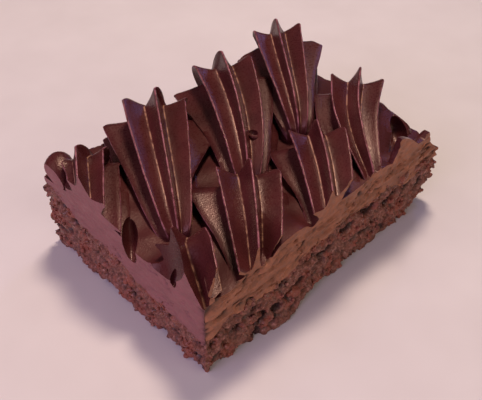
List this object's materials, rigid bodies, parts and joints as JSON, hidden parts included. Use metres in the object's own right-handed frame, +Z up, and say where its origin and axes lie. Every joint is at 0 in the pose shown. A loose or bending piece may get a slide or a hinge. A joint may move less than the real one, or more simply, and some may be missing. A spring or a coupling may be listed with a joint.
{
  "type": "chocolate brownie",
  "caption": "Rectangular piece of iced chocolate brownie: crumbly cake base, spread chocolate icing layer and tall star-piped icing shells sliced by the knife at the edges.",
  "frame": {"origin": "centre of the flat underside of the cake base", "axes": "+Z up; +X along the long side, away from the near corner; +Y along the short side, so the near corner is at -X, -Y"},
  "size_m": [0.0812, 0.058, 0.037],
  "materials": {
    "cake_crumb": "rough, matte, moist chocolate cake crumb",
    "icing_cut": "matte chocolate icing, smeared by a knife",
    "piped_icing": "satin, slightly glossy piped chocolate icing"
  },
  "bodies": {
    "root": {"cake_base": "cake_crumb", "icing_layer": "icing_cut", "back_shell_1": "piped_icing", "back_shell_2": "piped_icing", "back_shell_3": "piped_icing", "back_shell_4": "piped_icing", "front_shell_1": "piped_icing", "front_shell_2": "piped_icing", "front_shell_3": "piped_icing", "front_shell_4": "piped_icing", "edge_shell": "piped_icing"}
  },
  "joints": []
}
